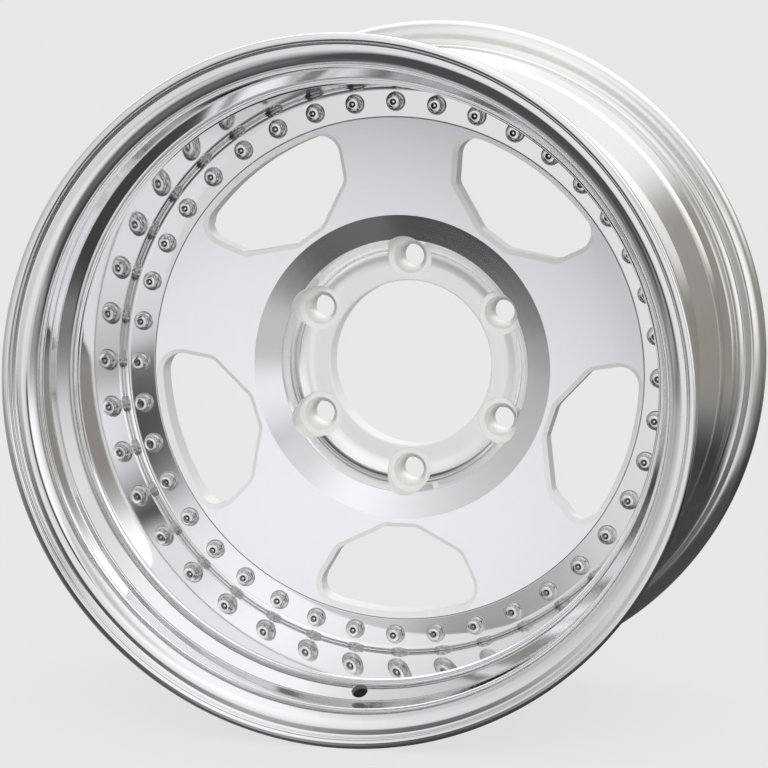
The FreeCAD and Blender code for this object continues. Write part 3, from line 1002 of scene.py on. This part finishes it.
NUT_STEEL = alloy(
    "nut_steel", (0.66, 0.65, 0.62), (0.56, 0.55, 0.52), metallic=1.0,
    roughness=0.30, haze=0.10, lines=2.0, line_bump=0.2, line_rough=0.06)
SEALANT = alloy(
    "sealant", (0.50, 0.50, 0.49), (0.42, 0.42, 0.41), metallic=0.0,
    roughness=0.62, haze=0.15, lines=0.4, line_bump=0.2, line_rough=0.05)

# The pieces on the frame
lip = make_outer_rim({"polished": POLISHED, "turned": TURNED, "cut": CUT})
barrel = make_inner_rim({"turned": BARREL, "inside": TURNED, "cut": CUT})
disc = make_disc({"face": FACE, "collar": COLLAR, "cove": COVE, "pad": PAD, "bore": BORE, "back": TURNED,
                  "seat": SEAT, "chamfer": WINDOW, "wall": WINDOW})
bolts = ring_of_pieces("bolts", bolt_mesh(), BOLT_STEEL)
nuts = ring_of_pieces("nuts", nut_mesh(), NUT_STEEL)
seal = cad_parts["rim_seal"]
seal.data.materials.clear()
seal.data.materials.append(SEALANT)
for piece, node, slot in [
    (lip, "outer_rim", "polished_lip"),
    (barrel, "inner_rim", "barrel_alloy"),
    (disc, "centre_disc", "disc_alloy"),
    (bolts, "rim_bolts", "bolt_chrome"),
    (nuts, "rim_nuts", "nut_steel"),
]:
    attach(piece, "root")
    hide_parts(node)


# Studio: floor, surroundings and light
BACKGROUND = 0.80
FLOOR_GLOW = 0.88
FLOOR_COLOUR = 0.8
FLOOR_HALF_SIZE = 60.0

# Painted shade on the floor, seen by the camera and mirrored in the metal: centre and half size of a soft
# ellipse, in millimetres
SEEN_SHADE = ((-36.0, 46.0), (65.0, 65.0))
MIRRORED_SHADE = ((190.0, -20.0), (340.0, 400.0))
SHADE_CORE = 0.45
SHADE_LEVEL = 0.02
MIRRORED_LEVEL = 0.05


def grey(level):
    """Opaque grey of one level."""
    return (level, level, level, 1)


def soft_patch(tree, patch):
    """1 in the middle of an ellipse on the floor, fading to 0 at its edge."""
    centre, half_size = patch
    place = tree.nodes.new("ShaderNodeTexCoord")
    apart = tree.nodes.new("ShaderNodeVectorMath")
    apart.operation = "SUBTRACT"
    apart.inputs[1].default_value = (centre[0] * MM, centre[1] * MM, 0)
    tree.links.new(place.outputs["Object"], apart.inputs[0])
    scaled = tree.nodes.new("ShaderNodeVectorMath")
    scaled.operation = "MULTIPLY"
    scaled.inputs[1].default_value = (1 / (half_size[0] * MM), 1 / (half_size[1] * MM), 0)
    tree.links.new(apart.outputs["Vector"], scaled.inputs[0])
    reach = tree.nodes.new("ShaderNodeVectorMath")
    reach.operation = "LENGTH"
    tree.links.new(scaled.outputs["Vector"], reach.inputs[0])
    return smooth_step(tree, reach.outputs["Value"], 1.0, SHADE_CORE)


def mixed(tree, share, first, second):
    """Mix of two shaders, the share being that of the second."""
    node = tree.nodes.new("ShaderNodeMixShader")
    if isinstance(share, float):
        node.inputs["Fac"].default_value = share
    else:
        tree.links.new(share, node.inputs["Fac"])
    tree.links.new(first, node.inputs[1])
    tree.links.new(second, node.inputs[2])
    return node.outputs["Shader"]


def glow(tree, level):
    """Even grey glow."""
    node = tree.nodes.new("ShaderNodeEmission")
    node.inputs["Color"].default_value = grey(level)
    return node.outputs["Emission"]


def make_floor():
    """Plain pale floor with a faint shadow of its own and a soft painted shade under the wheel. The metal
    mirrors a painted dark patch on it but not its glow.
    """
    mesh = bpy.data.meshes.new("floor")
    level = -FLANGE_RADIUS * MM
    side = FLOOR_HALF_SIZE
    corners = [(-side, -side, level), (side, -side, level), (side, side, level), (-side, side, level)]
    mesh.from_pydata(corners, [], [(0, 1, 2, 3)])
    made = bpy.data.materials.new("floor")
    made.use_nodes = True
    tree = made.node_tree
    tree.nodes.remove(tree.nodes["Principled BSDF"])
    diffuse = tree.nodes.new("ShaderNodeBsdfDiffuse")
    diffuse.inputs["Color"].default_value = grey(FLOOR_COLOUR)
    clear = tree.nodes.new("ShaderNodeBsdfTransparent")
    path = tree.nodes.new("ShaderNodeLightPath")
    pale = mixed(tree, FLOOR_GLOW, diffuse.outputs["BSDF"], glow(tree, BACKGROUND))
    # Painted shade that the camera sees under the wheel, in place of a contact shadow
    seen = mixed(tree, soft_patch(tree, SEEN_SHADE), pale, glow(tree, SHADE_LEVEL))
    # Painted shade in the metal: glossy rays see a dark patch under and beside the wheel, and pass through
    # the floor elsewhere
    shade = glow(tree, MIRRORED_LEVEL)
    mirrored = mixed(tree, soft_patch(tree, MIRRORED_SHADE), clear.outputs["BSDF"], shade)
    surface = mixed(tree, path.outputs["Is Glossy Ray"], seen, mirrored)
    tree.links.new(surface, tree.nodes["Material Output"].inputs["Surface"])
    mesh.materials.append(made)
    floor = new_object("floor", mesh)


# Key light: a wide soft sheet on the street side, above the camera, in metres
KEY_BEARING = math.radians(15.0)
KEY_CLIMB = math.radians(28.0)
KEY_DISTANCE = 2.8
KEY_SIZE = 1.6
KEY_POWER = 36.0


def make_key_light():
    """Soft sheet of light that the satin metal takes and the polish does not mirror."""
    data = bpy.data.lights.new("key_light", "AREA")
    data.size = KEY_SIZE
    data.energy = KEY_POWER
    light = new_object("key_light", data)
    level = math.cos(KEY_CLIMB)
    toward = Vector((math.sin(KEY_BEARING) * level, -math.cos(KEY_BEARING) * level, math.sin(KEY_CLIMB)))
    turn = toward.to_track_quat("Z", "Y").to_matrix().to_4x4()
    light.matrix_world = Matrix.Translation(toward * KEY_DISTANCE) @ turn
    light.visible_glossy = False


def ranged(tree, value, low, high, way="LINEAR"):
    """Value scaled so that low gives 0 and high gives 1, and held there beyond them."""
    node = tree.nodes.new("ShaderNodeMapRange")
    node.interpolation_type = way
    node.inputs["From Min"].default_value = low
    node.inputs["From Max"].default_value = high
    tree.links.new(value, node.inputs["Value"])
    return node.outputs["Result"]


def smooth_step(tree, value, low, high):
    """0 below low, 1 above high and smooth in between. High may be less than low."""
    return ranged(tree, value, low, high, "SMOOTHSTEP")


def between(tree, value, low, high, soft):
    """1 between low and high, fading to 0 over a soft edge on both sides."""
    rise = smooth_step(tree, value, low - soft, low + soft)
    fall = smooth_step(tree, value, high + soft, high - soft)
    return maths(tree, "MULTIPLY", rise, fall)


# Grey of the surroundings at each climb, in degrees from the horizon
ZENITH = 90.0
SURROUNDINGS = [
    (-90, 0.04),
    (-50, 0.15),
    (-40, 0.11),
    (-10, 0.34),
    (10, 0.55),
    (40, 0.71),
    (55, 0.68),
    (90, 0.96),
]

# Soft sheets and flags round the wheel: bearing from and to, climb from and to, soft edges, level and tint.
# The bearing is counted from the street side to the right and the climb from the horizon, in degrees.
# Most limits and levels were fitted to what the polish mirrors in the photo, then rounded and partly reset.
NEUTRAL = (1.0, 1.0, 1.0)
WARM = (1.0, 0.93, 0.85)
COOL = (0.985, 0.99, 1.01)
SHEETS = [
    ("left wall", -150, -60, -100, 45, 5, 5, 0.27, NEUTRAL),
    ("key sheet", -12, 52, -15, 75, 40, 20, 1.3, COOL),
    ("right flag", 12, 60, -25, 50, 15, 3, 0.58, NEUTRAL),
    ("right sheet", 10, 50, -6, 20, 28, 6, 1.6, COOL),
    ("low left flag", -75, -17.5, -60, -8, 1.5, 1.5, 0.07, NEUTRAL),
    ("floor sheet", -9, 20, -30, 10, 8, 10, 0.83, COOL),
    ("low right flag", 36, 80, -20, -13, 3, 14, 0.01, NEUTRAL),
    ("left band", -60, -30, -14, -10, 3, 4, 0.45, NEUTRAL),
    ("low notch", -14.5, -12, -13, -9.5, 0.5, 0.5, 0.37, NEUTRAL),
    ("far right", 77, 125, -14, 40, 4, 6, 0.29, WARM),
    ("far right floor", 77, 125, -100, -20, 4, 8, 0.02, WARM),
    ("top sheet", -14, 110, 40, 100, 3, 11, 1.0, COOL),
    ("front flag", 24, 28, -10, 22, 36, 5, 0.01, NEUTRAL),
    ("front post", 13.5, 23.5, -7.5, 16, 2.5, 2, 0.06, NEUTRAL),
    ("left strip", -113, -80, -14, 50, 9, 12, 0.53, NEUTRAL),
    ("high left", -97, -53, -3, 55, 3, 50, 0.57, NEUTRAL),
]
BEHIND = [
    ("back sheet", 108, 190, 15, 100, 10, 6, 1.45, NEUTRAL),
    ("back haze", 112, 190, -11, 10, 10, 5, 0.27, WARM),
    ("back floor", 112, 190, -100, -11, 10, 4, 0.015, WARM),
]


def hang_sheet(tree, under, bearing, climb, sheet):
    """Colour with one soft sheet laid over it."""
    name, left, right, low, high, side_edge, level_edge, level, tint = sheet
    across = between(tree, bearing, left, right, side_edge)
    upward = between(tree, climb, low, high, level_edge)
    share = maths(tree, "MULTIPLY", across, upward)
    over = colour_mix(tree, share, under, (level * tint[0], level * tint[1], level * tint[2], 1))
    over.node.label = name
    return over


def make_world():
    """Studio seen in the metal: pale above, darker below, with soft sheets and flags hung round it."""
    world = bpy.data.worlds.new("studio")
    bpy.context.scene.world = world
    world.use_nodes = True
    tree = world.node_tree
    back = tree.nodes["Background"]
    place = tree.nodes.new("ShaderNodeTexCoord")
    split = tree.nodes.new("ShaderNodeSeparateXYZ")
    tree.links.new(place.outputs["Generated"], split.inputs["Vector"])
    degree = 180 / math.pi
    climb = maths(tree, "MULTIPLY", maths(tree, "ARCSINE", split.outputs["Z"]), degree)
    ahead = maths(tree, "MULTIPLY", split.outputs["Y"], -1)
    bearing = maths(tree, "MULTIPLY", maths(tree, "ARCTAN2", split.outputs["X"], ahead), degree)
    turned_away = maths(tree, "ABSOLUTE", bearing)
    ramp = tree.nodes.new("ShaderNodeValToRGB")
    tree.links.new(ranged(tree, climb, -ZENITH, ZENITH), ramp.inputs["Fac"])
    elements = ramp.color_ramp.elements
    while len(elements) < len(SURROUNDINGS):
        elements.new(0.5)
    for element, (degrees, level) in zip(elements, SURROUNDINGS):
        element.position = (degrees + ZENITH) / (2 * ZENITH)
        element.color = grey(level)
    colour = ramp.outputs["Color"]
    for sheet in SHEETS:
        colour = hang_sheet(tree, colour, bearing, climb, sheet)
    for sheet in BEHIND:
        colour = hang_sheet(tree, colour, turned_away, climb, sheet)
    path = tree.nodes.new("ShaderNodeLightPath")
    shown = colour_mix(tree, path.outputs["Is Camera Ray"], colour, grey(BACKGROUND))
    tree.links.new(shown, back.inputs["Color"])


# Camera, fitted to the outline, the bolt heads and the nut holes in the photo
CAMERA_AZIMUTH = math.radians(15.0038)
CAMERA_ELEVATION = math.radians(7.1342)
CAMERA_DISTANCE = 2475.04
CAMERA_LENS = 181.222
SENSOR_WIDTH = 36.0
CLIP_END = 200.0
TARGET_RIGHT = -6.4426
TARGET_UP = -8.6311


def make_camera():
    """Camera at the photo's angle, from the right and a little above."""
    level = math.cos(CAMERA_ELEVATION)
    backward = Vector((math.sin(CAMERA_AZIMUTH) * level, -math.cos(CAMERA_AZIMUTH) * level,
                       math.sin(CAMERA_ELEVATION)))
    right = Vector((math.cos(CAMERA_AZIMUTH), math.sin(CAMERA_AZIMUTH), 0))
    upward = backward.cross(right)
    target = right * TARGET_RIGHT + upward * TARGET_UP
    data = bpy.data.cameras.new("camera")
    data.sensor_width = SENSOR_WIDTH
    data.lens = CAMERA_LENS
    data.clip_end = CLIP_END
    camera = new_object("camera", data)
    turn = Matrix((right, upward, backward)).transposed().to_4x4()
    camera.matrix_world = Matrix.Translation((target + backward * CAMERA_DISTANCE) * MM) @ turn
    bpy.context.scene.camera = camera


make_floor()
make_key_light()
make_world()
make_camera()
view = bpy.context.scene.view_settings
view.view_transform = "Standard"
